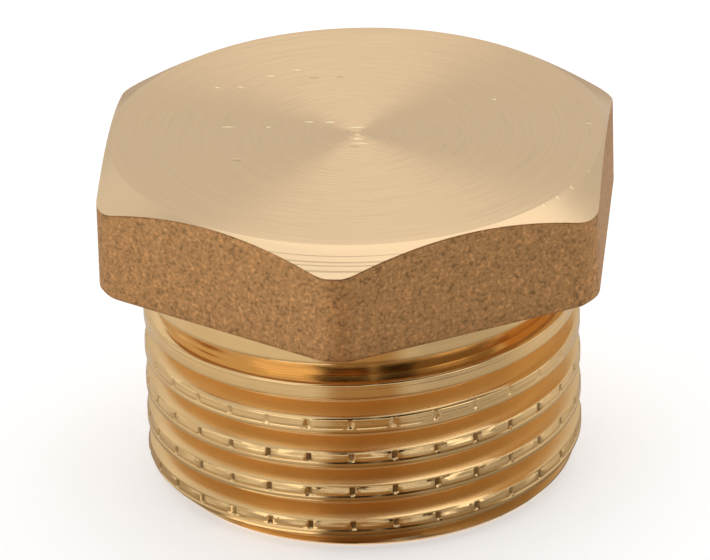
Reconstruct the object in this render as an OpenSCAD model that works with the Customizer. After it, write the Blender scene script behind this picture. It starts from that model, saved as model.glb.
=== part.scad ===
// Forged brass blanking plug with a hexagon head, a plain band and a serrated pipe thread.
// Millimetres. The thread end stands on z = 0, the axis is Z and a corner of the head points to -Y.

/* [Head] */
// Width across the flats
hex_af = 23.7; // [22.5:0.1:27]
// Height of the head
head_h = 5.4; // [4:0.1:9]
// Radius of the soft corners between the flats
hex_corner_r = 1.9; // [0.6:0.1:3]
// Diameter of the turned top face
face_d = 23.5; // [18:0.1:23.6]
// Slope of the turned chamfer round the top face, in degrees
face_chamfer_angle = 31; // [15:1:40]
// Width of the broken edge along the flats on the underside
under_edge = 0.25; // [0.1:0.05:0.6]
// How far the corners are rounded off on the underside
under_corner = 0.35; // [0.3:0.05:1.2]

/* [Shank] */
// Length from the thread end to the underside of the head
shank_len = 11.6; // [9:0.1:18]
// Distance from the head to the middle of the groove where it has run out
band_h = 0.7; // [0.3:0.05:2]
// Height over which the groove runs out
runout_h = 1; // [0.4:0.1:2]

/* [Thread] */
// Diameter over the crests
thread_d = 20.955; // [18:0.005:23]
// Distance between neighbouring crests
thread_pitch = 1.814; // [1.5:0.001:2.4]
// Angle between the two flanks of a groove, in degrees
flank_angle = 55; // [50:1:60]
// Width of the flat on the crests
crest_flat = 0.8; // [0.4:0.02:0.86]
// Width of the flat at the bottom of the groove
root_flat = 0.104; // [0.05:0.002:0.3]
// Height of a crest's middle above the thread end, on the +X side
first_crest_z = 1.796; // [0.5:0.002:2.4]
// Chamfer at the thread end, on the radius
end_chamfer = 0.85; // [0.3:0.05:1.1]

/* [Serration] */
// Notches in one turn of the crest
notch_count = 32; // [16:1:40]
// Width of a notch across the crest
notch_w = 0.3; // [0.15:0.01:0.5]
// Depth of a notch below the crest
notch_depth = 0.22; // [0.1:0.01:0.35]
// Direction of the first notch from +X, in degrees
notch_turn = 1.75; // [0:0.25:11.25]
// Height at which the notches have run out
notch_top = 7.7; // [4:0.1:9]
// Height over which the notches run out
notch_fade = 2.2; // [0.5:0.1:4]

/* [Hollow] */
// Thickness of the wall between the groove and the mouth of the hollow
hollow_wall = 2.1; // [1.5:0.1:4]
// Thickness of the metal between the hollow and the top face
crown_t = 4.6; // [3:0.1:8]
// Draft of the hollow's wall, in degrees
hollow_draft = 2; // [0.5:0.5:5]
// Radius of the corner at the bottom of the hollow
hollow_corner_r = 1.8; // [0.5:0.1:3]

/* [Hidden] */
$fn = 96;
BRASS = [0.78, 0.6, 0.36];
// Length by which solids that become one reach into each other
BURY = 0.3;

total_h = shank_len + head_h;
hex_r = hex_af / 2;
corner_centre_r = (hex_r - hex_corner_r) / cos(30);
hex_tip_r = corner_centre_r + hex_corner_r;
face_r = face_d / 2;

// Thread form: flanks rise over one unit of depth by flank_rise along the axis
flank_rise = tan(flank_angle / 2);
thread_depth = (thread_pitch - crest_flat - root_flat) / (2 * flank_rise);
crest_r = thread_d / 2;
root_r = crest_r - thread_depth;
notch_floor_r = crest_r - notch_depth;
runout_z = shank_len - band_h;
thread_top = shank_len + BURY;

// Corners of one turn of the thread: height above the middle of its crest, and radius
notch_z = crest_flat / 2 + notch_depth * flank_rise;
TURN_Z = [
    -crest_flat / 2,
    crest_flat / 2,
    notch_z,
    (thread_pitch - root_flat) / 2,
    (thread_pitch + root_flat) / 2,
    thread_pitch - notch_z
];
TURN_R = [crest_r, crest_r, notch_floor_r, root_r, root_r, notch_floor_r];
CORNERS = len(TURN_Z);
CREST_CORNERS = 2;

// Columns round the axis: both edges and the floor of each notch, and one between the notches
notch_step = 360 / notch_count;
notch_half = notch_w / 2 / crest_r * 180 / PI;
COLUMN_OFFSETS = [-notch_half, 0, notch_half, notch_step / 2];
NOTCH_FLOOR_COLUMN = 1;
COLUMN_ANGLES = [
    for (n = [0 : notch_count - 1])
        for (offset = COLUMN_OFFSETS)
            n * notch_step + offset
];
COLUMNS = len(COLUMN_ANGLES);

// Turns counted from far enough below the thread end, and the shortest step kept at both ends
TURNS_BELOW = 3;
CORNER_TOTAL = CORNERS * (TURNS_BELOW + ceil(thread_top / thread_pitch) + 2);
END_STEP = 0.04;

// The end chamfer bounds the thread
function bound_r(z) = crest_r - end_chamfer + z;

// Share of the full notch depth at a height
function notch_share(z) = max(0, min(1, (notch_top - z) / notch_fade));

// Share of the full depth that a groove has when its middle is at a height
function groove_share(z) = max(0, min(1, (runout_z - z) / runout_h));

// Height of the middle of the crest that a corner belongs to
function crest_z(column, corner) =
    first_crest_z
    + thread_pitch * (floor(corner / CORNERS) - TURNS_BELOW)
    + thread_pitch * (COLUMN_ANGLES[column] + notch_turn) / 360;

function corner_z(column, corner) = crest_z(column, corner) + TURN_Z[corner % CORNERS];

function corner_r(column, corner) =
    let (
        z = corner_z(column, corner),
        turn_corner = corner % CORNERS,
        on_notch = column % len(COLUMN_OFFSETS) == NOTCH_FLOOR_COLUMN,
        notch = on_notch && turn_corner < CREST_CORNERS ? notch_depth * notch_share(z) : 0,
        lost = thread_depth * (1 - groove_share(crest_z(column, corner) + thread_pitch / 2))
    )
    min(min(crest_r, TURN_R[turn_corner] + lost) - notch, bound_r(z));

// Radius of the thread's own form in a column at any height
function form_r(column, z) =
    let (
        above = z - corner_z(column, 0) - crest_flat / 2,
        from_crest = abs(above - thread_pitch * round(above / thread_pitch))
    )
    min(crest_r, max(root_r, crest_r - (from_crest - crest_flat / 2) / flank_rise));

function on_column(column, r, z) =
    let (angle = COLUMN_ANGLES[column] + notch_turn)
    [r * cos(angle), r * sin(angle), z];

// The corners of a column that lie between the two ends
function kept(column) = [
    for (corner = [0 : CORNER_TOTAL - 1])
        let (z = corner_z(column, corner))
        if (z > END_STEP && z < thread_top - END_STEP)
            corner
];

KEPT = [for (column = [0 : COLUMNS - 1]) kept(column)];
FIRST_POINT = [
    for (column = 0, at = 0; column < COLUMNS; at = at + len(KEPT[column]) + 2, column = column + 1)
        at
];

// A column's points: one on the thread end, the kept corners, and one inside the head
function column_points(column) = [
    on_column(column, min(form_r(column, 0), bound_r(0)), 0),
    for (corner = KEPT[column])
        on_column(column, corner_r(column, corner), corner_z(column, corner)),
    on_column(column, crest_r, thread_top)
];

// Index of a corner's point; corners past an end share that end's point
function point_at(column, corner) =
    let (
        wrapped = column == COLUMNS,
        own_column = wrapped ? 0 : column,
        own_corner = wrapped ? corner + CORNERS : corner,
        place = own_corner - KEPT[own_column][0] + 1
    )
    FIRST_POINT[own_column] + max(0, min(len(KEPT[own_column]) + 1, place));

// Two triangles between neighbouring columns and corners, without those that have no area
function patch(column, corner) =
    let (
        a = point_at(column, corner),
        b = point_at(column + 1, corner),
        c = point_at(column + 1, corner + 1),
        d = point_at(column, corner + 1)
    )
    [
        if (a != b && b != c && a != c) [a, c, b],
        if (a != c && c != d && a != d) [a, d, c]
    ];

function end_point(column) = FIRST_POINT[column];

function head_point(column) = FIRST_POINT[column] + len(KEPT[column]) + 1;

// Helical thread with its core and the plain band, from the thread end up into the head
module thread() {
    points = [
        for (column = [0 : COLUMNS - 1])
            each column_points(column)
    ];
    sides = [
        for (column = [0 : COLUMNS - 1])
            for (corner = [-CORNERS : CORNER_TOTAL])
                each patch(column, corner)
    ];
    end_face = [for (column = [0 : COLUMNS - 1]) end_point(column)];
    head_face = [for (column = [COLUMNS - 1 : -1 : 0]) head_point(column)];
    polyhedron(points = points, faces = concat(sides, [end_face], [head_face]), convexity = 10);
}

// Outline of the head: a hexagon with arcs at its corners
module hexagon_outline() {
    rotate(30) {
        circle(r = corner_centre_r, $fn = 6);
        for (side = [0 : 5])
            rotate(60 * side) {
                translate([corner_centre_r, 0])
                    circle(r = hex_corner_r);
                rotate(30)
                    translate([0, -corner_centre_r / 2])
                        square([hex_r, corner_centre_r]);
            }
    }
}

// What turning leaves of the head: its chamfered top, and rounded corners underneath
module turned_envelope() {
    reach = hex_tip_r + 1;
    top_drop = (reach - face_r) * tan(face_chamfer_angle);
    rotate_extrude()
        polygon([
            [0, 0],
            [hex_tip_r - under_corner, 0],
            [reach, under_corner + reach - hex_tip_r],
            [reach, head_h - top_drop],
            [face_r, head_h],
            [0, head_h]
        ]);
}

// Six planes that break the edges along the flats on the underside
module underside_planes() {
    low = (hex_r - under_edge) / cos(30);
    rotate(30)
        cylinder(r1 = low, r2 = low + head_h / cos(30), h = head_h, $fn = 6);
}

module head() {
    translate([0, 0, shank_len])
        intersection() {
            linear_extrude(head_h)
                hexagon_outline();
            turned_envelope();
            underside_planes();
        }
}

// Blind hollow from the thread end, with draft and a rounded bottom
module hollow() {
    mouth_r = root_r - hollow_wall;
    depth = total_h - crown_t;
    floor_r = mouth_r - depth * tan(hollow_draft);
    below = 1;
    rotate_extrude() {
        difference() {
            polygon([
                [0, -below],
                [mouth_r + below * tan(hollow_draft), -below],
                [floor_r, depth],
                [0, depth]
            ]);
            translate([floor_r - hollow_corner_r, depth - hollow_corner_r])
                difference() {
                    square(2 * hollow_corner_r);
                    circle(r = hollow_corner_r);
                }
        }
    }
}

module plug() {
    color(BRASS)
        difference() {
            union() {
                thread();
                head();
            }
            hollow();
        }
}

plug();
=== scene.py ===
import math

import bmesh
import bpy
from bpy.props import FloatProperty, FloatVectorProperty, IntProperty, PointerProperty
from mathutils import Matrix, Vector


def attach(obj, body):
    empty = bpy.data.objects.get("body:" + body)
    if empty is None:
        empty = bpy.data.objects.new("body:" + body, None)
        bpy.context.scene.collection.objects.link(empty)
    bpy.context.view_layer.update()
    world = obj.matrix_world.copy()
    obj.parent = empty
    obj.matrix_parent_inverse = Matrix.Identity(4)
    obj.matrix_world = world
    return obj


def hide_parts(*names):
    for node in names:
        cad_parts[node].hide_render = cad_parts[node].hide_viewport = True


bl_info = {
    "name": "Brass pipe plug",
    "version": (1, 0, 0),
    "blender": (4, 5, 0),
    "location": "View3D > Sidebar > Plug",
    "description": "Builds a hexagon head pipe plug with a serrated thread, and a studio",
    "category": "Object",
}

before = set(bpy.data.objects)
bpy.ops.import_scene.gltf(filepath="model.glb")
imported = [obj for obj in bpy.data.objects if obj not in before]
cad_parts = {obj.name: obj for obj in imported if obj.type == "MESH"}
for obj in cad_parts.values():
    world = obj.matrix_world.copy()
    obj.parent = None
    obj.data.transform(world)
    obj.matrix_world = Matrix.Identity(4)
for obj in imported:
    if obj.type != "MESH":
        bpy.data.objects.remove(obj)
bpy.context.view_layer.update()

MM = 0.001
BODY = "root"
NODE = "plug"
PIECE = "plug_body"
PIT = "pit"

# Order of the finishes on the plug's mesh
THREADED, BLASTED, CHAMFER, FACE, FORGED = range(5)

# Corners of the head point to -Y and every sixth of a turn from there
HEX_SECTOR = math.radians(60)
HEX_FLAT_TURN = math.radians(-60)
# Rings of faces on the top face and on the wall of the hollow
FACE_RINGS = 16
HOLLOW_RINGS = 5
# Groove and burr where a flank meets the chamfer: finish, inset and rise in edge breaks
EDGE_PROFILE = [(BLASTED, 0.7, -1.0), (BLASTED, 0.0, -0.2), (CHAMFER, 0.1, 0.06)]
# Pip in the middle of the face and the rings round it, as shares of its radius and height, and
# where the flat face ends
PIP_PROFILE = [(3.0, -0.1), (2.5, -0.5), (2.1, -0.7), (1.7, -0.3), (1.4, 0.2), (1.15, 0.1),
               (0.9, -0.2), (0.65, 0.4), (0.45, 0.8), (0.25, 1.0)]
PIP_REACH = 3.6

# Rows of the thread's mesh in one turn: the crest, a flank, the root and the other flank
CREST_ROWS = 11
FLANK_ROWS = 4
ROOT_ROWS = 1
TURN_ROWS = CREST_ROWS + FLANK_ROWS + ROOT_ROWS + FLANK_ROWS
# Rows of the crest where fine lines are scored into it, counted from its lower edge
LIP_ROW = 4
RIM_ROW = 8
# Turns that start below the thread end
TURNS_BELOW = 2
# Columns from one notch to the next, and how far they crowd together at the notches
NOTCH_COLUMNS = 14
NOTCH_CROWDING = 0.6
# Least depth of a notch as a share of the full one, and its burrs in half widths from its middle
NOTCH_LEAST = 0.6
BURR_PLACE = 1.5
# A tile is the crest between two notches: its least roll, the spread of that, and the share that
# its upper edge takes back
ROLL_LEAST = 0.6
ROLL_SPREAD = 0.8
ROLL_RELIEF = 0.45
# Shares of half the crest's width from which it is worn, and up to which a point is on it
WORN_FROM = 0.8
CREST_LIMIT = 1.001
# Run-out heights below the end of the run-out: the steep wall begins, it is full, and the marks
# along the crest begin
WALL_FROM = 2.3
WALL_FULL = 1.5
MARKS_FROM = 0.9
# Factors that keep random draws apart: the depth of a notch, the lean of a tile and its roll
DEPTH_DRAW = 1.37
LEAN_DRAW = 2.13
ROLL_DRAW = 3.71

# Distances in metres at which points become one, an end is found and a sliver is dissolved
MERGE_REACH = 0.0005 * MM
END_REACH = 0.001 * MM
SLIVER = 0.0001 * MM
# Edges that bend by more than this stay sharp
SHARP_ANGLE = math.radians(32)

# Scratches on the top face, the raised ones lightened as painted highlights and the sunk ones
# darkened as painted shade: across, back and half length in millimetres
HIGHLIT_RAISED_MARKS = [(-7.12, 4.85, 0.2), (-5.98, 4.95, 0.22), (-6.2, 0.57, 0.42), (-4.26, 0.6, 0.14),
                (-2.37, 1.23, 0.27), (-1.38, 1.25, 0.3), (-4.66, 6.2, 0.26), (-3.43, 6.93, 0.26),
                (10.96, 1.53, 0.15), (6.27, 3.95, 0.15), (-0.1, 0.72, 0.42), (0.1, -0.5, 0.3),
                (0.25, -1.0, 0.5)]
SHADED_SUNK_MARKS = [(-2.57, 6.08, 0.3), (-1.33, 6.19, 0.24), (-5.43, -3.04, 0.3), (0.0, -1.38, 0.3)]
# Scratches on the edge between the face and the chamfer, lightened as painted highlights
HIGHLIT_EDGE_MARKS = [(11.25, -3.59, 0.1), (10.56, -5.29, 0.14), (9.97, -6.34, 0.1), (9.37, -7.18, 0.09)]
# Half the width of a scratch, in millimetres
MARK_HALF_WIDTH = 0.13

# Floor and the sheets on it, in metres
FLOOR_RADIUS = 3.0
SHEET_INNER = 9.75 * MM
SHEET_OUTER = 70 * MM
SHEET_HEIGHT = 0.05 * MM
BACK_SHEET_OUTER = 300 * MM
BACK_SHEET_SWEEP = math.radians(150)
# Glowing card under the right edge of the head, a painted reflection in the grooves
CARD_INNER = 11.8 * MM
CARD_OUTER = 19 * MM
CARD_HEIGHT = 11.5 * MM
CARD_SWEEP = math.radians(57)
CARD_TURN = math.radians(91.5)
# Flags behind the camera: degrees to its right, degrees above the floor, and colour
FLAG_DISTANCE = 0.6
DARK = (0.03, 0.02, 0.01)
BROWN = (0.3, 0.24, 0.18)
FLAGS = {
    "dark_flag_left": ((-27, 2.8), (9, 52), DARK),
    "dark_flag_right": ((4.8, 27), (9, 52), DARK),
    "brown_flag_right": ((27, 74), (14, 52), BROWN),
}
# Lamps: place, aim, width and depth in metres, and brightness, where 1 is white
LAMP_AIM = (0, 0, 0.01)
SOFTBOXES = {
    "overhead_softbox": ((0.11, 0.12, 0.5), (0.08, 0.06, 0), 0.72, 0.6, 0.6),
    "back_left_softbox": ((-0.42, 0.41, 0.38), LAMP_AIM, 0.3, 0.3, 0.17),
    "left_strip": ((-0.32, -0.37, 0.07), LAMP_AIM, 0.24, 0.13, 0.7),
    "right_strip": ((0.39, -0.30, 0.07), LAMP_AIM, 0.18, 0.13, 0.8),
    "high_left_strip": ((-0.26, -0.28, 0.33), LAMP_AIM, 0.3, 0.14, 0.4),
}
# Camera: width of the sensor in millimetres, and the range that it sees in metres
SENSOR_WIDTH = 36.0
CLIP_NEAR = 0.01
CLIP_FAR = 10.0


def length(name, description, millimetres):
    """A length of the plug, kept in metres."""
    return FloatProperty(name=name, description=description, default=millimetres * MM,
                         unit="LENGTH", subtype="DISTANCE", precision=6)


def angle(name, description, degrees):
    return FloatProperty(name=name, description=description, default=math.radians(degrees),
                         unit="ROTATION", subtype="ANGLE")


def colour(name, description, value):
    return FloatVectorProperty(name=name, description=description, default=value, size=3,
                               min=0, max=1, subtype="COLOR")


class PlugHead(bpy.types.PropertyGroup):
    """Sizes of the hexagon head."""
    across_flats: length("Across flats", "Width across the flats", 23.7)
    height: length("Height", "Height of the head", 5.4)
    corner_radius: length("Corner radius", "Radius of the soft corners between the flats", 1.9)
    face_diameter: length("Face diameter", "Diameter of the turned top face", 23.5)
    chamfer_slope: angle("Chamfer slope", "Slope of the turned chamfer round the face", 31)
    under_edge: length("Under edge", "Broken edge along the flats on the underside", 0.25)
    under_corner: length("Under corner", "Rounding of the corners on the underside", 0.35)
    edge_break: length("Edge break", "Height of the burr between flank and chamfer", 0.06)
    pip_radius: length("Pip radius", "Radius of the pip that facing leaves at the centre", 0.3)
    pip_height: length("Pip height", "Height of that pip", 0.035)


class PlugShank(bpy.types.PropertyGroup):
    """Sizes of the plain band and the hollow."""
    length: length("Length", "From the thread end to the underside of the head", 11.6)
    band: length("Band", "From the head to the groove's middle where it has run out", 0.7)
    runout: length("Run-out", "Height over which the groove runs out", 1.0)
    wall_reach: length("Wall reach", "From the last groove's middle up to the band's edge", 0.64)
    wall_lean: angle("Wall lean", "Lean of the wall between the last groove and the band", 30)
    fillet: length("Fillet", "Radius between the band and the head", 0.1)
    hollow_wall: length("Hollow wall", "Wall between the groove and the hollow's mouth", 2.1)
    crown: length("Crown", "Metal between the hollow and the top face", 4.6)
    hollow_draft: angle("Hollow draft", "Draft of the hollow's wall", 2)
    hollow_corner: length("Hollow corner", "Radius at the bottom of the hollow", 1.8)
    mouth_break: length("Mouth break", "Broken edge at the mouth of the hollow", 0.12)


class PlugThread(bpy.types.PropertyGroup):
    """Sizes of the thread and its serration."""
    diameter: length("Diameter", "Diameter over the crests", 20.955)
    pitch: length("Pitch", "Distance between neighbouring crests", 1.814)
    flank_angle: angle("Flank angle", "Angle between the two flanks of a groove", 55)
    crest_width: length("Crest width", "Width of the flat on the crests", 0.8)
    root_width: length("Root width", "Width of the flat in the groove", 0.104)
    first_crest: length("First crest", "Height of a crest's middle on the +X side", 1.796)
    end_chamfer: length("End chamfer", "Chamfer at the thread end, on the radius", 0.85)
    edge_break: length("Edge break", "How far the crest's two edges are worn down", 0.045)
    lip_line: length("Lip line", "Depth of the line that sets off the crest's lower lip", 0.05)
    rim_line: length("Rim line", "Depth of the line along the crest's upper edge", 0.017)
    notch_count: IntProperty(name="Notches", description="Notches in one turn", default=32, min=8)
    notch_turn: angle("Notch turn", "Direction of the first notch from +X", 1.75)
    notch_width: length("Notch width", "Width of a notch along the crest", 0.32)
    notch_depth: length("Notch depth", "Depth of a notch below the crest", 0.22)
    notch_burr: length("Notch burr", "Height of the metal raised beside a notch", 0.026)
    notch_top: length("Notch top", "Height at which the notches have run out", 7.7)
    notch_fade: length("Notch fade", "Height over which the notches run out", 2.2)
    tile_bulge: length("Tile bulge", "How far the crest swells between two notches", 0.012)
    tile_roll: length("Tile roll", "How far the crest is rolled over to its upper edge", 0.07)
    tile_tilt: FloatProperty(name="Tile tilt", default=0.1, min=0, max=0.2,
                             description="Uneven lean of the crest between two notches")
    seed: IntProperty(name="Seed", description="Seed of the uneven notches", default=4)


class PlugFinish(bpy.types.PropertyGroup):
    """Colours of the brass as it is left by each tool."""
    turned: colour("Turned", "Brass cut on the lathe", (0.93, 0.68, 0.41))
    threaded: colour("Threaded", "Brass in the thread and the band", (0.95, 0.642, 0.302))
    blasted: colour("Blasted", "Forged brass after blasting", (0.61, 0.335, 0.14))
    forged: colour("Forged", "Forged brass inside the hollow", (0.62, 0.42, 0.22))


class PlugStudio(bpy.types.PropertyGroup):
    """Camera and light."""
    lens: FloatProperty(name="Lens", description="Focal length on a 36 mm sensor", default=417.15,
                        unit="CAMERA", min=1)
    distance: length("Distance", "From the camera to the point it looks at", 394.49)
    azimuth: angle("Azimuth", "Direction of the camera round the plug", 5.5)
    elevation: angle("Elevation", "Height of the camera above the horizon", 27.04)
    roll: angle("Roll", "Roll of the camera", -1.605)
    aim_side: length("Aim side", "Sideways offset of the point it looks at", -0.279)
    aim_height: length("Aim height", "Height of the point it looks at", 9.183)
    floor: colour("Floor", "Colour of the floor", (0.80, 0.80, 0.80))
    floor_glow: FloatProperty(name="Floor glow", default=0.49, min=0, max=1,
                              description="Light of the floor's own, where 1 is white")
    sheet: colour("Sheet", "Colour of the sheet that the metal mirrors", (0.95, 0.93, 0.90))
    # Painted shade close to the plug, seen only in reflections
    sheet_near_shade: colour("Sheet, near", "Its colour close to the plug", (0.70, 0.67, 0.60))
    # Painted shade in front of the plug, seen only in reflections
    sheet_front_shade: colour("Sheet, front", "Its tint in front of the plug", (0.57, 0.40, 0.23))
    # Painted shade of the back sheet, seen in the chamfer of the back corners
    sheet_back_shade: colour("Sheet, back", "Its colour far behind the plug", (0.5, 0.38, 0.26))
    # Glow of the painted highlight on the sheet
    sheet_highlight_glow: colour("Sheet, glow", "Light of its bright patch", (1.0, 0.96, 0.88))
    # Glow of the card, a painted reflection in the right grooves
    card: colour("Card", "Colour of the gold card beside the plug", (0.457, 0.291, 0.134))
    surround: colour("Surround", "Colour of the room round the plug", (0.62, 0.62, 0.62))


class Field:
    """A value in a node tree, so that a rule can be written as arithmetic."""

    def __init__(self, tree, socket):
        self.tree = tree
        self.socket = socket

    def math(self, operation, *others):
        node = self.tree.nodes.new("ShaderNodeMath")
        node.operation = operation
        for place, value in zip(node.inputs, (self, *others)):
            feed(place, value)
        return Field(self.tree, node.outputs[0])

    def __add__(self, other):
        return self.math("ADD", other)

    def __sub__(self, other):
        return self.math("SUBTRACT", other)

    def __rsub__(self, other):
        return self * -1 + other

    def __mul__(self, other):
        return self.math("MULTIPLY", other)

    def __truediv__(self, other):
        return self.math("DIVIDE", other)

    def absolute(self):
        return self.math("ABSOLUTE")

    def less(self, other):
        return self.math("MINIMUM", other)

    def more(self, other):
        return self.math("MAXIMUM", other)

    def span(self, low, high, smooth=False):
        """0 at low, 1 at high, held beyond them."""
        node = self.tree.nodes.new("ShaderNodeMapRange")
        node.interpolation_type = "SMOOTHSTEP" if smooth else "LINEAR"
        node.clamp = True
        for place, value in zip(node.inputs, (self, low, high)):
            feed(place, value)
        return Field(self.tree, node.outputs[0])


def feed(place, value):
    if isinstance(value, Field):
        value.tree.links.new(value.socket, place)
    else:
        place.default_value = value


def random_number(field):
    """The same random number from 0 to 1 for the same whole number."""
    node = field.tree.nodes.new("ShaderNodeTexWhiteNoise")
    node.noise_dimensions = "1D"
    feed(node.inputs["W"], field)
    return Field(field.tree, node.outputs["Value"])


def hexagon_turn(turn):
    """Angle from the middle of the nearest flat."""
    from_flat = (turn - HEX_FLAT_TURN) / HEX_SECTOR
    return (from_flat - round(from_flat)) * HEX_SECTOR


def corner_centre(head):
    """Distance from the axis to the middle of a soft corner's arc."""
    return (head.across_flats / 2 - head.corner_radius) / math.cos(HEX_SECTOR / 2)


def hexagon_radius(head, turn):
    """Radius of the head's outline, with its soft corners, in a direction."""
    half = head.across_flats / 2
    off_flat = abs(hexagon_turn(turn))
    centre = corner_centre(head)
    straight = centre * math.sin(HEX_SECTOR / 2)
    if half * math.tan(off_flat) <= straight:
        return half / math.cos(off_flat)
    off_corner = HEX_SECTOR / 2 - off_flat
    reach = math.sqrt(head.corner_radius ** 2 - (centre * math.sin(off_corner)) ** 2)
    return centre * math.cos(off_corner) + reach


def underside_radius(head, turn):
    """Radius of the flat underside, inside its broken edge."""
    tip = corner_centre(head) + head.corner_radius
    along_flat = (head.across_flats / 2 - head.under_edge) / math.cos(hexagon_turn(turn))
    return min(along_flat, tip - head.under_corner, hexagon_radius(head, turn))


def new_material(name):
    material = bpy.data.materials.new(name)
    material.use_nodes = True
    tree = material.node_tree
    return material, tree, tree.nodes["Principled BSDF"]


def object_place(tree):
    return Field(tree, tree.nodes.new("ShaderNodeTexCoord").outputs["Object"])


def brass_material(name):
    material, tree, shader = new_material(name)
    shader.inputs["Metallic"].default_value = 1.0
    return material, shader, object_place(tree)


def noise(place, size, detail, roughness):
    """Noise whose blotches are about the given size, in metres."""
    tree = place.tree
    mapping = tree.nodes.new("ShaderNodeMapping")
    mapping.inputs["Scale"].default_value = [1 / size] * 3
    feed(mapping.inputs["Vector"], place)
    node = tree.nodes.new("ShaderNodeTexNoise")
    node.inputs["Scale"].default_value = 1.0
    node.inputs["Detail"].default_value = detail
    node.inputs["Roughness"].default_value = roughness
    tree.links.new(mapping.outputs[0], node.inputs["Vector"])
    return Field(tree, node.outputs[0])


def lines(across, size):
    """Uneven parallel lines about as wide as the given size, in metres."""
    node = across.tree.nodes.new("ShaderNodeTexNoise")
    node.noise_dimensions = "1D"
    node.inputs["Scale"].default_value = 1.0 / size
    node.inputs["Detail"].default_value = 2.0
    feed(node.inputs["W"], across)
    return Field(across.tree, node.outputs[0])


def polar_noise(place, across, along):
    """Noise drawn out round the axis: across in metres, along in radians."""
    tree = place.tree
    spread = tree.nodes.new("ShaderNodeCombineXYZ")
    feed(spread.inputs["X"], axis_distance(place) / across)
    feed(spread.inputs["Y"], direction_from_front(place) / along)
    node = tree.nodes.new("ShaderNodeTexNoise")
    node.noise_dimensions = "2D"
    node.inputs["Scale"].default_value = 1.0
    node.inputs["Detail"].default_value = 2.0
    tree.links.new(spread.outputs[0], node.inputs["Vector"])
    return Field(tree, node.outputs[0])


def axis_distance(place):
    """Distance from the plug's axis."""
    tree = place.tree
    flat = tree.nodes.new("ShaderNodeVectorMath")
    flat.operation = "MULTIPLY"
    feed(flat.inputs[0], place)
    flat.inputs[1].default_value = (1, 1, 0)
    reach = tree.nodes.new("ShaderNodeVectorMath")
    reach.operation = "LENGTH"
    tree.links.new(flat.outputs["Vector"], reach.inputs[0])
    return Field(tree, reach.outputs["Value"])


def axes(place):
    """The three coordinates of a place."""
    split = place.tree.nodes.new("ShaderNodeSeparateXYZ")
    feed(split.inputs[0], place)
    return [Field(place.tree, output) for output in split.outputs]


def direction_from_front(place):
    """Direction round the axis, 0 at -Y and growing towards +X."""
    x, y, _ = axes(place)
    return x.math("ARCTAN2", y * -1)


def tint(amount, stops):
    """A colour that follows a number, from position and colour pairs."""
    ramp = amount.tree.nodes.new("ShaderNodeValToRGB")
    while len(ramp.color_ramp.elements) < len(stops):
        ramp.color_ramp.elements.new(0.5)
    for element, (position, value) in zip(ramp.color_ramp.elements, stops):
        element.position = position
        element.color = (*value, 1)
    feed(ramp.inputs["Fac"], amount)
    return Field(amount.tree, ramp.outputs["Color"])


def shade(value, factor):
    return [min(1.0, channel * factor) for channel in value]


def paint(shader, amount, value, shades):
    """Shades of one colour that follow a number, from position and brightness pairs."""
    stops = [(position, shade(value, factor)) for position, factor in shades]
    feed(shader.inputs["Base Color"], tint(amount, stops))


def roughen(shader, amount, least, spread):
    """Roughness that follows a number from 0 to 1."""
    feed(shader.inputs["Roughness"], amount * spread + least)


def bump(relief, height, under=None):
    """Normal of a relief of the given height, in metres, over another normal."""
    node = relief.tree.nodes.new("ShaderNodeBump")
    node.inputs["Strength"].default_value = 1.0
    node.inputs["Distance"].default_value = height
    feed(node.inputs["Height"], relief)
    if under is not None:
        feed(node.inputs["Normal"], under)
    return Field(relief.tree, node.outputs["Normal"])


def circular_grain(shader, place, amount):
    """Gloss drawn out by the marks of turning, which run round the axis."""
    tangent = place.tree.nodes.new("ShaderNodeTangent")
    tangent.direction_type = "RADIAL"
    tangent.axis = "Z"
    place.tree.links.new(tangent.outputs[0], shader.inputs["Tangent"])
    shader.inputs["Anisotropic"].default_value = amount
    shader.inputs["Anisotropic Rotation"].default_value = 0.25


def scratches(place, marks):
    """1 in the middle of short scratches, from their places and half lengths in millimetres."""
    x, y, _ = axes(place)
    found = None
    for across, back, half in marks:
        along = (x - across * MM) / (half * MM)
        beside = (y - back * MM) / (MARK_HALF_WIDTH * MM)
        mark = (1 - along * along - beside * beside).more(0)
        found = mark if found is None else found.more(mark)
    return found


def turned_face_material(finish):
    """Satin top face with faint broken strokes of turning and a few small scratches, the raised
    ones lightened as painted highlights and the sunk ones darkened as painted shade.
    """
    material, shader, place = brass_material("turned_face")
    strokes = polar_noise(place, across=0.16 * MM, along=0.5)
    raised = scratches(place, HIGHLIT_RAISED_MARKS)
    sunk = scratches(place, SHADED_SUNK_MARKS)
    # Raised scratches are painted lighter as highlights and sunk ones darker as painted shade; the
    # strokes are the turning's own tone
    tone = strokes * 0.7 + raised * 0.5 - sunk * 0.6
    paint(shader, tone, finish.turned,
          [(0.0, 0.8), (0.2, 0.95), (0.5, 1.0), (0.66, 1.07), (0.85, 1.3)])
    roughen(shader, strokes, least=0.36, spread=0.08)
    circular_grain(shader, place, 0.8)
    fine = bump(strokes, height=0.017 * MM)
    feed(shader.inputs["Normal"], bump(raised - sunk, height=0.02 * MM, under=fine))
    return material


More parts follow.
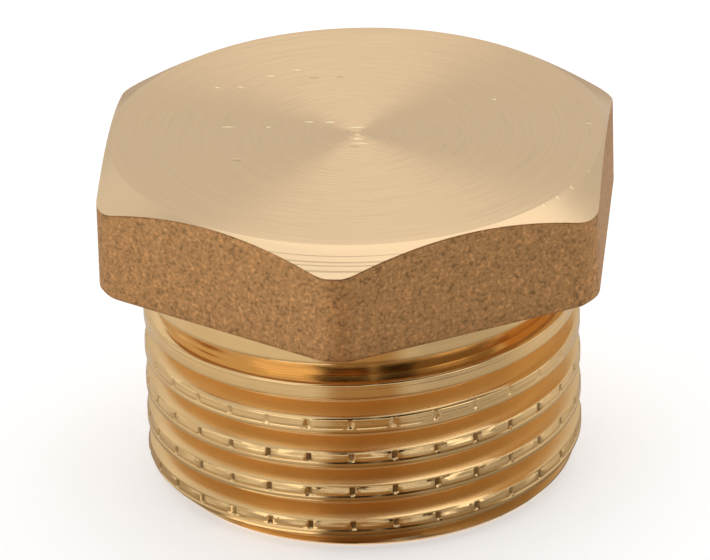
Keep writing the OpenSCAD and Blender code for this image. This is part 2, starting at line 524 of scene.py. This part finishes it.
def turned_chamfer_material(finish):
    """Brighter chamfer with a few clear tool lines low on the front corner, and small scratches
    lightened as painted highlights.
    """
    material, shader, place = brass_material("turned_chamfer")
    radius = axis_distance(place)
    front = direction_from_front(place).absolute().span(0.5, 0.25, smooth=True)
    low = radius.span(12.1 * MM, 12.3 * MM)
    marks = lines(radius, size=0.16 * MM)
    scored = marks.span(0.46, 0.36) * front * low
    raised = scratches(place, HIGHLIT_EDGE_MARKS)
    # The scratches are painted lighter as highlights; the tool lines are darker
    paint(shader, scored * 0.5 - raised * 0.5 + 0.5, finish.turned,
          [(0.0, 1.12), (0.5, 0.92), (1.0, 0.66)])
    roughen(shader, marks, least=0.24, spread=0.1)
    circular_grain(shader, place, 0.6)
    feed(shader.inputs["Normal"], bump(raised - scored, height=0.006 * MM))
    return material


def blasted_material(finish):
    """Matt forged flanks with the fine grain that blasting leaves."""
    material, shader, place = brass_material("blasted_flank")
    grain = noise(place, size=0.18 * MM, detail=2.0, roughness=0.6)
    pits = noise(place, size=0.4 * MM, detail=3.0, roughness=0.6)
    tone = grain * 0.6 + pits * 0.4
    paint(shader, tone, finish.blasted,
          [(0.36, 0.58), (0.47, 0.96), (0.55, 1.06), (0.64, 1.4)])
    roughen(shader, pits, least=0.46, spread=0.16)
    feed(shader.inputs["Normal"], bump(tone, height=0.06 * MM))
    return material


def threaded_material(finish, pitch):
    """Bright thread and band with tool lines that follow the helix, dull in notches and grooves,
    with painted shade that darkens the notches.
    """
    material, shader, place = brass_material("cut_thread")
    height = axes(place)[2]
    along_helix = height - direction_from_front(place) * (pitch / math.tau)
    marks = lines(along_helix, size=0.07 * MM)
    stain = noise(place, size=1.6 * MM, detail=3.0, roughness=0.55)
    pit = place.tree.nodes.new("ShaderNodeAttribute")
    pit.attribute_name = PIT
    depth = Field(place.tree, pit.outputs["Fac"]).span(0.05, 0.6)
    below_crest = axis_distance(place).span(10.42 * MM, 10.2 * MM)
    below_last_groove = height.span(8.8 * MM, 8.5 * MM)
    satin = below_crest * below_last_groove
    # The colour is darkened in the notches as painted shade; the stain is an uneven tone of its own
    paint(shader, stain * (1 - depth), finish.threaded,
          [(0.0, 0.5), (0.3, 0.95), (0.7, 1.0)])
    feed(shader.inputs["Roughness"], stain * 0.1 + depth * 0.2 + satin * 0.2 + 0.1)
    feed(shader.inputs["Normal"], bump(marks, height=0.003 * MM))
    return material


def forged_material(finish):
    """Dull forged skin inside the hollow."""
    material, shader, place = brass_material("forged_hollow")
    skin = noise(place, size=0.7 * MM, detail=4.0, roughness=0.6)
    paint(shader, skin, finish.forged, [(0.32, 0.7), (0.66, 1.0)])
    roughen(shader, skin, least=0.4, spread=0.2)
    feed(shader.inputs["Normal"], bump(skin, height=0.06 * MM))
    return material


def thread_sizes(thread, shank):
    """Sizes of the thread that follow from the stated ones."""
    slope = math.tan(thread.flank_angle / 2)
    crest = thread.diameter / 2
    depth = (thread.pitch - thread.crest_width - thread.root_width) / (2 * slope)
    return {
        "slope": slope,
        "crest": crest,
        "root": crest - depth,
        "runout": shank.length - shank.band,
        "top": shank.length - shank.fillet,
    }


def thread_inputs(thread, shank):
    """Named inputs of the thread's node tree. A whole number is a count or a seed."""
    sizes = thread_sizes(thread, shank)
    return {
        "Notches": thread.notch_count,
        "Turns": TURNS_BELOW + math.ceil(sizes["top"] / thread.pitch),
        "Crest Radius": sizes["crest"],
        "Root Radius": sizes["root"],
        "Flank Slope": sizes["slope"],
        "Pitch": thread.pitch,
        "Crest Width": thread.crest_width,
        "Root Width": thread.root_width,
        "First Crest": thread.first_crest,
        "Thread Top": sizes["top"],
        "End Radius": sizes["crest"] - thread.end_chamfer,
        "Run-out End": sizes["runout"],
        "Run-out Height": shank.runout,
        "Wall Reach": shank.wall_reach,
        "Wall Slope": math.tan(shank.wall_lean),
        "Edge Break": thread.edge_break,
        "Lip Line": thread.lip_line,
        "Rim Line": thread.rim_line,
        "Notch Turn": thread.notch_turn,
        "Notch Width": thread.notch_width,
        "Notch Depth": thread.notch_depth,
        "Notch Burr": thread.notch_burr,
        "Notch Top": thread.notch_top,
        "Notch Fade": thread.notch_fade,
        "Tile Bulge": thread.tile_bulge,
        "Tile Roll": thread.tile_roll,
        "Tile Tilt": thread.tile_tilt,
        "Seed": thread.seed,
    }


def crowd(place):
    """Draws places round the plug towards the notches, which stand at whole numbers."""
    return place - (place * math.tau).math("SINE") * (NOTCH_CROWDING / math.tau)


def thread_tree(inputs, material):
    """Node tree that winds a grid into the serrated thread."""
    tree = bpy.data.node_groups.new("serrated_thread", "GeometryNodeTree")
    identifiers = {}
    for name, value in inputs.items():
        kind = "NodeSocketInt" if isinstance(value, int) else "NodeSocketFloat"
        made = tree.interface.new_socket(name=name, in_out="INPUT", socket_type=kind)
        identifiers[name] = made.identifier
    tree.interface.new_socket(name="Geometry", in_out="OUTPUT", socket_type="NodeSocketGeometry")
    group = tree.nodes.new("NodeGroupInput")
    size = {name: Field(tree, group.outputs[name]) for name in inputs}
    pitch, crest_width, crest = size["Pitch"], size["Crest Width"], size["Crest Radius"]
    notches, seed = size["Notches"], size["Seed"]

    # A flat grid: columns go round the plug, rows follow the thread's section
    columns = notches * NOTCH_COLUMNS
    rows = size["Turns"] * TURN_ROWS
    grid = tree.nodes.new("GeometryNodeMeshGrid")
    feed(grid.inputs["Vertices X"], columns + 1)
    feed(grid.inputs["Vertices Y"], rows + 1)
    x, y, _ = axes(Field(tree, tree.nodes.new("GeometryNodeInputPosition").outputs[0]))
    column = ((x + 0.5) * columns).math("ROUND")
    row = ((y + 0.5) * rows).math("ROUND")

    # Columns crowd together at the notches
    place = column / NOTCH_COLUMNS
    turn = crowd(place) * math.tau / notches + size["Notch Turn"]

    # Height of a row: its turn, its place in the section and the climb of the helix
    block = (row / TURN_ROWS).math("FLOOR")
    step = row - block * TURN_ROWS
    flank_width = (pitch - crest_width - size["Root Width"]) * 0.5
    flank_end = CREST_ROWS + FLANK_ROWS
    section = crest_width * -0.5 + crest_width * step.span(0, CREST_ROWS)
    section = section + flank_width * step.span(CREST_ROWS, flank_end)
    section = section + size["Root Width"] * step.span(flank_end, flank_end + ROOT_ROWS)
    section = section + flank_width * step.span(flank_end + ROOT_ROWS, TURN_ROWS)
    climb = size["First Crest"] + pitch * turn / math.tau
    height = climb + pitch * (block - TURNS_BELOW) + section
    height = height.more(0).less(size["Thread Top"])

    # Distance from the middle of the nearest crest, after the ends are cut off
    level = (height - climb) / pitch
    crest_number = level.math("ROUND")
    off_crest = (level - crest_number) * pitch
    distance = off_crest.absolute()
    half_crest = crest_width * 0.5
    form = crest - (distance - half_crest).more(0) / size["Flank Slope"]
    form = form.more(size["Root Radius"])

    # The last groove has a steep wall up to the band, and runs out below the head
    groove = climb + pitch * (level.math("FLOOR") + 0.5)
    half_groove = (pitch - crest_width) * 0.5
    above = height - groove + half_groove
    to_bottom = flank_width * 0.5
    to_band = size["Wall Reach"] + half_groove
    flank = crest - above.more(0) / to_bottom * (to_band - to_bottom) * size["Wall Slope"]
    wall = crest - (to_band - above).more(0) * size["Wall Slope"]
    to_go = (size["Run-out End"] - groove) / size["Run-out Height"]
    form = form + (flank.more(wall) - form) * to_go.span(WALL_FROM, WALL_FULL)
    form = (form + (crest - size["Root Radius"]) * (1 - to_go.span(0, 1))).less(crest)

    # How much of the serration is left at this height; it keeps clear of both edges of the crest
    fade = ((size["Notch Top"] - height) / size["Notch Fade"]).span(0, 1)
    row_width = crest_width / CREST_ROWS
    lip_place = row_width * (LIP_ROW - CREST_ROWS / 2)
    line_place = row_width * (RIM_ROW - CREST_ROWS / 2)
    rim_place = row_width * (CREST_ROWS / 2 - 1)
    from_lip = off_crest.span(lip_place, lip_place + row_width)
    from_rim = off_crest.span(rim_place, rim_place - row_width)
    cut_share = fade * (from_lip * from_rim)

    # A notch at every whole place, each of its own depth, with burrs beside it
    nearest = place.math("ROUND")
    arc = (crowd(place - nearest) * math.tau / notches * crest).absolute()
    notch_number = crest_number * notches + nearest
    depth = random_number(notch_number * DEPTH_DRAW + seed) * (1 - NOTCH_LEAST) + NOTCH_LEAST
    across = arc / (size["Notch Width"] * 0.5)
    cut = size["Notch Depth"] * depth * cut_share * (1 - across * across).more(0)
    burr = size["Notch Burr"] * cut_share * (1 - (across - BURR_PLACE).absolute()).more(0)

    # A tile swells, leans a little and is rolled over towards its upper edge
    tile = place.math("FLOOR")
    along_tile = place - tile - 0.5
    lean = random_number((crest_number * notches + tile) * LEAN_DRAW + seed) - 0.5
    tile_width = crest * math.tau / notches
    swell = size["Tile Bulge"] * (1 - along_tile * along_tile * 4)
    swell = (swell + size["Tile Tilt"] * lean * along_tile * tile_width) * cut_share
    rolled = off_crest.span(lip_place, rim_place)
    rolled = rolled * rolled * (1 - off_crest.span(rim_place, half_crest) * ROLL_RELIEF)
    roll = random_number(notch_number * ROLL_DRAW + seed) * ROLL_SPREAD + ROLL_LEAST
    rolled = size["Tile Roll"] * rolled * fade * roll

    # Worn edges of the crest, and the two lines scored along it
    crest_to_go = (size["Run-out End"] - climb - pitch * crest_number) / size["Run-out Height"]
    marked = (crest_to_go - MARKS_FROM).span(0, 1)
    worn = size["Edge Break"] * distance.span(half_crest * WORN_FROM, half_crest, smooth=True)
    lip = (1 - (off_crest - lip_place).absolute() / row_width).more(0)
    rim = (1 - (off_crest - line_place).absolute() / row_width).more(0)
    scored = size["Lip Line"] * lip * fade + size["Rim Line"] * rim
    on_crest = distance.math("LESS_THAN", half_crest * CREST_LIMIT)
    form = form + (burr + swell - rolled - worn - scored) * on_crest * marked

    # The end chamfer bounds it
    radius = form.less(crest - cut).less(size["End Radius"] + height)
    wound = tree.nodes.new("ShaderNodeCombineXYZ")
    feed(wound.inputs["X"], radius * turn.math("COSINE"))
    feed(wound.inputs["Y"], radius * turn.math("SINE"))
    feed(wound.inputs["Z"], height)

    # The depth of the notches is kept for the material, while the grid is still flat
    pitted = tree.nodes.new("GeometryNodeStoreNamedAttribute")
    pitted.data_type = "FLOAT"
    pitted.domain = "POINT"
    pitted.inputs["Name"].default_value = PIT
    feed(pitted.inputs["Value"], cut / size["Notch Depth"])
    moved = tree.nodes.new("GeometryNodeSetPosition")
    tree.links.new(wound.outputs[0], moved.inputs["Position"])
    merged = tree.nodes.new("GeometryNodeMergeByDistance")
    merged.inputs["Distance"].default_value = MERGE_REACH
    real = tree.nodes.new("GeometryNodeRealizeInstances")
    finished = tree.nodes.new("GeometryNodeSetMaterial")
    finished.inputs["Material"].default_value = material
    out = tree.nodes.new("NodeGroupOutput")
    line = (grid, pitted, moved, merged, real, finished, out)
    for before, after in zip(line, line[1:]):
        tree.links.new(before.outputs[0], after.inputs[0])
    return tree, identifiers


def thread_mesh(thread, shank, material):
    """The wound thread as a plain mesh, open at both ends."""
    inputs = thread_inputs(thread, shank)
    tree, identifiers = thread_tree(inputs, material)
    carrier = bpy.data.objects.new("thread_carrier", bpy.data.meshes.new("thread_carrier"))
    bpy.context.collection.objects.link(carrier)
    modifier = carrier.modifiers.new("serrated_thread", "NODES")
    modifier.node_group = tree
    for name, value in inputs.items():
        modifier[identifiers[name]] = value
    graph = bpy.context.evaluated_depsgraph_get()
    mesh = bpy.data.meshes.new_from_object(carrier.evaluated_get(graph), depsgraph=graph)
    carrier.modifiers.remove(modifier)
    bpy.data.objects.remove(carrier)
    return mesh


def turn_of(point):
    """Direction of a point round the axis."""
    return math.atan2(point.co.y, point.co.x)


def end_ring(bm, height):
    """The open ring of the thread at a height, in order round the axis."""
    found = {v for edge in bm.edges if edge.is_boundary for v in edge.verts
             if abs(v.co.z - height) < END_REACH}
    return sorted(found, key=turn_of)


def add_face(bm, corners, material, outward):
    face = bm.faces.new(corners if outward else corners[::-1])
    face.material_index = material
    face.smooth = True


def add_rings(bm, ring, rows, outward):
    """Adds rings of faces to a ring. A row is a finish and a rule for radius and height by turn."""
    turns = [turn_of(v) for v in ring]
    for material, rule in rows:
        made = []
        for turn in turns:
            radius, height = rule(turn)
            made.append(bm.verts.new((radius * math.cos(turn), radius * math.sin(turn), height)))
        for place in range(len(ring)):
            ahead = (place + 1) % len(ring)
            corners = [ring[place], ring[ahead], made[ahead], made[place]]
            add_face(bm, corners, material, outward)
        ring = made
    return ring


def close_ring(bm, ring, height, material, outward):
    """Closes a ring with a point on the axis."""
    pole = bm.verts.new((0, 0, height))
    for place in range(len(ring)):
        corners = [ring[place], ring[(place + 1) % len(ring)], pole]
        add_face(bm, corners, material, outward)


def blend(low, high, share_of_way):
    return low + (high - low) * share_of_way


def even(radius, height):
    """Rule of a ring that is the same all round."""
    return lambda turn: (radius, height)


def head_rows(head, shank, band_radius):
    """Rings from the band over the head's underside, flanks and chamfer to the face's middle."""
    under = shank.length
    top = under + head.height
    face = head.face_diameter / 2
    fillet = shank.fillet
    slope = math.tan(head.chamfer_slope)
    soft = head.edge_break
    rows = []

    def add(material, rule):
        rows.append((material, rule))

    def outline(turn):
        return hexagon_radius(head, turn)

    def inside(turn):
        return underside_radius(head, turn)

    def chamfer_height(radius):
        return top - (radius - face) * slope

    def chamfer_point(turn, way):
        radius = blend(outline(turn) - soft, face + 0.2 * soft, way)
        return radius, chamfer_height(radius)

    # Fillet, underside and its rounded edge
    for bend in map(math.radians, (30, 60, 90)):
        radius = band_radius + fillet * (1 - math.cos(bend))
        z = under - fillet + fillet * math.sin(bend)
        add(THREADED, even(radius, z))
    for way in (0.25, 0.6, 1.0):
        add(BLASTED, lambda turn, way=way: (
            blend(band_radius + fillet, inside(turn), way), under))
    for bend in map(math.radians, (22.5, 45, 67.5, 90)):
        add(BLASTED, lambda turn, bend=bend: (
            blend(inside(turn), outline(turn), math.sin(bend)),
            under + (outline(turn) - inside(turn)) * (1 - math.cos(bend))))

    # Flanks, their upper edge and the chamfer
    for way in (0.2, 0.4, 0.6, 0.8, 1.0):
        add(BLASTED, lambda turn, way=way: (
            outline(turn),
            blend(under + outline(turn) - inside(turn),
                  chamfer_height(outline(turn)) - 2 * soft, way)))
    for material, inset, rise in EDGE_PROFILE:
        add(material, lambda turn, inset=inset, rise=rise: (
            outline(turn) - inset * soft, chamfer_height(outline(turn)) + rise * soft))
    for way in (0.0, 0.25, 0.5, 0.75, 1.0):
        add(CHAMFER, lambda turn, way=way: chamfer_point(turn, way))

    # Softened edge of the face, the face and its pip
    add(FACE, even(face - 0.3 * soft, top - 0.04 * soft))
    for step in range(1, FACE_RINGS + 1):
        radius = blend(face - soft, PIP_REACH * head.pip_radius, step / FACE_RINGS)
        add(FACE, even(radius, top))
    for reach, rise in PIP_PROFILE:
        add(FACE, even(reach * head.pip_radius, top + rise * head.pip_height))
    return rows, top + head.pip_height


def hollow_rows(head, shank, root_radius, ring):
    """Rings from the thread end into the hollow, up to the middle of its floor."""
    depth = shank.length + head.height - shank.crown
    mouth = root_radius - shank.hollow_wall
    draft = math.tan(shank.hollow_draft)
    corner = shank.hollow_corner
    floor = mouth - depth * draft
    soft = shank.mouth_break
    start = {turn_of(v): v.co.xy.length for v in ring}
    rows = []

    def add(material, rule):
        rows.append((material, rule))

    # Thread end and the broken edge of the mouth
    for way in (0.12, 0.5, 1.0):
        add(THREADED, lambda turn, way=way: (blend(start[turn], mouth + soft, way), 0))
    for bend in map(math.radians, (30, 60, 90)):
        radius = mouth + soft * (1 - math.sin(bend)) - soft * draft
        z = soft * (1 - math.cos(bend))
        add(THREADED, even(radius, z))

    # Wall, rounded corner and floor
    for step in range(1, HOLLOW_RINGS + 1):
        z = blend(soft, depth - corner, step / HOLLOW_RINGS)
        add(FORGED, even(mouth - z * draft, z))
    for bend in map(math.radians, (18, 36, 54, 72, 90)):
        radius = floor - corner * (1 - math.cos(bend))
        z = depth - corner * (1 - math.sin(bend))
        add(FORGED, even(radius, z))
    for way in (0.4, 0.8):
        add(FORGED, even(blend(floor - corner, 0, way), depth))
    return rows, depth


def plug_mesh(head, shank, thread, materials):
    """The thread's mesh, closed by the head at its top and by the hollow at its end."""
    sizes = thread_sizes(thread, shank)
    mesh = thread_mesh(thread, shank, materials[THREADED])
    mesh.name = PIECE
    bm = bmesh.new()
    bm.from_mesh(mesh)
    for face in bm.faces:
        face.material_index = THREADED
        face.smooth = True
    columns = thread.notch_count * NOTCH_COLUMNS
    bottom, top = end_ring(bm, 0.0), end_ring(bm, sizes["top"])
    if len(bottom) != columns or len(top) != columns:
        raise RuntimeError(
            f"the thread's ends have {len(bottom)} and {len(top)} points, not {columns}")
    rows, height = head_rows(head, shank, sizes["crest"])
    close_ring(bm, add_rings(bm, top, rows, True), height, FACE, True)
    rows, height = hollow_rows(head, shank, sizes["root"], bottom)
    close_ring(bm, add_rings(bm, bottom, rows, False), height, FORGED, False)
    bmesh.ops.dissolve_degenerate(bm, dist=SLIVER, edges=bm.edges)
    bmesh.ops.recalc_face_normals(bm, faces=bm.faces)
    if any(not edge.is_manifold for edge in bm.edges):
        raise RuntimeError("the plug's mesh isn't closed")
    mesh.materials.clear()
    for material in materials:
        mesh.materials.append(material)
    bm.to_mesh(mesh)
    bm.free()
    mesh.set_sharp_from_angle(angle=SHARP_ANGLE)
    return mesh


class PLUG_OT_body(bpy.types.Operator):
    """Makes the plug: the serrated thread with its band, the head and the hollow"""
    bl_idname = "plug.body"
    bl_label = "Make the plug"

    def execute(self, context):
        scene = context.scene
        thread, finish = scene.plug_thread, scene.plug_finish
        materials = [
            threaded_material(finish, thread.pitch),
            blasted_material(finish),
            turned_chamfer_material(finish),
            turned_face_material(finish),
            forged_material(finish),
        ]
        mesh = plug_mesh(scene.plug_head, scene.plug_shank, thread, materials)
        piece = bpy.data.objects.new(PIECE, mesh)
        context.collection.objects.link(piece)
        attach(piece, BODY)
        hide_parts(NODE)
        return {"FINISHED"}


def stage_object(name, bm):
    """An object of the studio from a mesh in the making."""
    mesh = bpy.data.meshes.new(name)
    bm.to_mesh(mesh)
    bm.free()
    made = bpy.data.objects.new(name, mesh)
    bpy.context.collection.objects.link(made)
    return made


def matt_material(name, value=(0, 0, 0)):
    material, tree, shader = new_material(name)
    shader.inputs["Base Color"].default_value = (*value, 1)
    shader.inputs["Roughness"].default_value = 1.0
    shader.inputs["Specular IOR Level"].default_value = 0.0
    return material, tree, shader


def studio_floor(studio):
    """Pale floor that takes the plug's shadow and looks white to the camera and in the metal."""
    bm = bmesh.new()
    bmesh.ops.create_circle(bm, cap_ends=True, radius=FLOOR_RADIUS, segments=96)
    floor = stage_object("studio_floor", bm)
    material, tree, shader = matt_material("studio_floor", studio.floor)
    shader.inputs["Emission Color"].default_value = (1, 1, 1, 1)
    path = tree.nodes.new("ShaderNodeLightPath")
    to_camera, in_gloss, through = (Field(tree, path.outputs[f"Is {kind} Ray"])
                                    for kind in ("Camera", "Glossy", "Transmission"))
    seen = (to_camera + in_gloss + through).less(1)
    feed(shader.inputs["Emission Strength"], seen * studio.floor_glow)
    floor.data.materials.append(material)


def mirrored_ring(name, inner, outer, sweep, middle=0.0, height=SHEET_HEIGHT):
    """Part of a flat ring, seen only in reflections. Its middle is a turn from the back."""
    bm = bmesh.new()
    steps = 72
    rows = []
    for step in range(steps + 1):
        turn = middle + (step / steps - 0.5) * sweep
        rows.append([bm.verts.new((reach * math.sin(turn), reach * math.cos(turn), height))
                     for reach in (inner, outer)])
    for (low, high), (next_low, next_high) in zip(rows, rows[1:]):
        bm.faces.new((low, next_low, next_high, high))
    bmesh.ops.remove_doubles(bm, verts=bm.verts, dist=MERGE_REACH)
    bmesh.ops.recalc_face_normals(bm, faces=bm.faces)
    ring = stage_object(name, bm)
    ring.visible_camera = False
    ring.visible_shadow = False
    ring.visible_diffuse = False
    return ring


def sector(aside, middle, core, edge):
    """1 within core degrees of a direction, 0 past edge degrees from it."""
    off = (aside - math.radians(middle)).absolute()
    return off.span(math.radians(edge), math.radians(core), smooth=True)


def grey_sheet(studio):
    """A grey sheet round the plug, seen only in reflections, with painted shade towards the camera,
    to its right and close to the plug, and a glowing patch that is a painted highlight.
    """
    sheet = mirrored_ring("grey_sheet", SHEET_INNER, SHEET_OUTER, math.tau)
    material, tree, shader = matt_material("grey_sheet")
    place = object_place(tree)
    aside = direction_from_front(place) - studio.azimuth
    reach = axis_distance(place)

    # How much light it throws back: painted shade towards the camera, to its right and close to the
    # plug
    front = sector(aside, middle=0, core=10, edge=22)
    right = sector(aside, middle=46, core=14, edge=42)
    far = reach.span(34 * MM, 48 * MM, smooth=True)
    outside = reach.span(32 * MM, 38 * MM)
    level = (1 - front * far * 0.5) * (1 - right * (outside * 0.4 + 0.25))
    level = level * reach.span(8 * MM, 10.8 * MM)

    # Its colour by distance, as a share of the outer radius, darker close to the plug and towards
    # its outer edge, and its tint in front: painted shade seen in the metal
    between = [(near + away) / 2 for near, away in zip(studio.sheet_near_shade, studio.sheet)]
    colours = tint(reach / SHEET_OUTER,
                   [(0.17, studio.sheet_near_shade), (0.31, between), (0.40, studio.sheet),
                    (0.47, studio.sheet), (0.54, shade(studio.sheet, 0.86))])
    tinted = tree.nodes.new("ShaderNodeVectorMath")
    tinted.operation = "MULTIPLY"
    feed(tinted.inputs[0], colours)
    feed(tinted.inputs[1], tint(front, [(0.0, (1, 1, 1)), (1.0, studio.sheet_front_shade)]))
    dimmed = tree.nodes.new("ShaderNodeVectorMath")
    dimmed.operation = "SCALE"
    tree.links.new(tinted.outputs["Vector"], dimmed.inputs[0])
    feed(dimmed.inputs["Scale"], level)
    tree.links.new(dimmed.outputs["Vector"], shader.inputs["Base Color"])

    # A glowing patch close to the plug, on its left: a painted highlight seen in the metal
    bright = sector(aside, middle=-29, core=12, edge=17)
    bright = bright * reach.span(10.3 * MM, 10.6 * MM) * reach.span(12.6 * MM, 11.6 * MM)
    shader.inputs["Emission Color"].default_value = (*studio.sheet_highlight_glow, 1)
    feed(shader.inputs["Emission Strength"], bright)
    sheet.data.materials.append(material)


def back_sheet(studio):
    """A warm sheet far behind the plug, seen only in reflections, whose image lies in the chamfer
    of its back corners as painted shade.
    """
    sheet = mirrored_ring("back_sheet", SHEET_OUTER, BACK_SHEET_OUTER, BACK_SHEET_SWEEP)
    material, _, _ = matt_material("back_sheet", studio.sheet_back_shade)
    sheet.data.materials.append(material)


def gold_card(studio):
    """A glowing card seen only from below, in reflections, which hides a lamp from the grooves: its
    glow is a painted reflection there.
    """
    card = mirrored_ring("gold_card", CARD_INNER, CARD_OUTER, CARD_SWEEP, CARD_TURN, CARD_HEIGHT)
    if card.data.polygons[0].normal.z > 0:
        card.data.flip_normals()
    material, tree, shader = matt_material("gold_card")
    # Its glow stands in for what the grooves would mirror: a painted reflection
    shader.inputs["Emission Color"].default_value = (*studio.card, 1)
    shader.inputs["Emission Strength"].default_value = 1.0
    from_above = tree.nodes.new("ShaderNodeNewGeometry").outputs["Backfacing"]
    clear = tree.nodes.new("ShaderNodeBsdfTransparent")
    either = tree.nodes.new("ShaderNodeMixShader")
    for source, place in zip((from_above, shader.outputs[0], clear.outputs[0]), either.inputs):
        tree.links.new(source, place)
    tree.links.new(either.outputs[0], tree.nodes["Material Output"].inputs["Surface"])
    card.data.materials.append(material)


def flag(name, azimuth, sides, lifts, value):
    """A flat sheet behind the camera, whose image lies in the last groove."""
    bm = bmesh.new()
    corners = []
    for side, lift in ((0, 0), (1, 0), (1, 1), (0, 1)):
        aside = azimuth + math.radians(sides[side])
        corners.append(bm.verts.new((FLAG_DISTANCE * math.sin(aside),
                                     -FLAG_DISTANCE * math.cos(aside),
                                     FLAG_DISTANCE * math.tan(math.radians(lifts[lift])))))
    bm.faces.new(corners)
    made = stage_object(name, bm)
    material, _, _ = matt_material(name, value)
    made.data.materials.append(material)


def softbox(name, place, aim, width, depth, radiance):
    """A rectangular lamp whose surface has the given brightness, where 1 is white."""
    data = bpy.data.lights.new(name, "AREA")
    data.shape = "RECTANGLE"
    data.size = width
    data.size_y = depth
    data.energy = radiance * math.pi * width * depth
    lamp = bpy.data.objects.new(name, data)
    lamp.location = place
    lamp.rotation_euler = (Vector(aim) - Vector(place)).to_track_quat("-Z", "Y").to_euler()
    bpy.context.collection.objects.link(lamp)


def surround(studio):
    """Even light from the room round the plug."""
    world = bpy.data.worlds.new("surround")
    world.use_nodes = True
    world.node_tree.nodes["Background"].inputs["Color"].default_value = (*studio.surround, 1)
    bpy.context.scene.world = world


def camera(studio):
    """The camera, at the photograph's viewing angle."""
    data = bpy.data.cameras.new("camera")
    data.lens = studio.lens
    data.sensor_width = SENSOR_WIDTH
    data.clip_start = CLIP_NEAR
    data.clip_end = CLIP_FAR
    made = bpy.data.objects.new("camera", data)
    bpy.context.collection.objects.link(made)
    turn = Matrix.Rotation(studio.azimuth, 3, "Z")
    lift, roll = studio.elevation, studio.roll
    forward = turn @ Vector((0, math.cos(lift), -math.sin(lift)))
    right = turn @ Vector((1, 0, 0))
    up = turn @ Vector((0, math.sin(lift), math.cos(lift)))
    side = right * math.cos(roll) + up * math.sin(roll)
    rise = up * math.cos(roll) - right * math.sin(roll)
    aim = turn @ Vector((studio.aim_side, 0, studio.aim_height))
    matrix = Matrix((side, rise, -forward)).transposed().to_4x4()
    matrix.translation = aim - forward * studio.distance
    made.matrix_world = matrix
    bpy.context.scene.camera = made


class PLUG_OT_studio(bpy.types.Operator):
    """Makes the floor, the sheets, the lamps, the surround and the camera"""
    bl_idname = "plug.studio"
    bl_label = "Make the studio"

    def execute(self, context):
        studio = context.scene.plug_studio
        context.scene.view_settings.view_transform = "Standard"
        studio_floor(studio)
        grey_sheet(studio)
        back_sheet(studio)
        for name, lamp in SOFTBOXES.items():
            softbox(name, *lamp)
        for name, sheet in FLAGS.items():
            flag(name, studio.azimuth, *sheet)
        gold_card(studio)
        surround(studio)
        camera(studio)
        return {"FINISHED"}


class PLUG_PT_panel(bpy.types.Panel):
    """Lists the plug's sizes and makes it"""
    bl_idname = "PLUG_PT_panel"
    bl_label = "Brass pipe plug"
    bl_space_type = "VIEW_3D"
    bl_region_type = "UI"
    bl_category = "Plug"

    def draw(self, context):
        layout = self.layout
        for name in GROUPS:
            group = getattr(context.scene, name)
            column = layout.column(heading=group.bl_rna.name)
            for key in group.__annotations__:
                column.prop(group, key)
        for operator in OPERATORS:
            layout.operator(operator.bl_idname)


GROUPS = {
    "plug_head": PlugHead,
    "plug_shank": PlugShank,
    "plug_thread": PlugThread,
    "plug_finish": PlugFinish,
    "plug_studio": PlugStudio,
}
OPERATORS = (PLUG_OT_body, PLUG_OT_studio)
CLASSES = (*GROUPS.values(), *OPERATORS, PLUG_PT_panel)


def register():
    for made in CLASSES:
        bpy.utils.register_class(made)
    for name, group in GROUPS.items():
        setattr(bpy.types.Scene, name, PointerProperty(type=group))


def unregister():
    for name in GROUPS:
        delattr(bpy.types.Scene, name)
    for made in reversed(CLASSES):
        bpy.utils.unregister_class(made)


def main():
    register()
    bpy.ops.plug.body()
    bpy.ops.plug.studio()


if __name__ == "__main__":
    main()
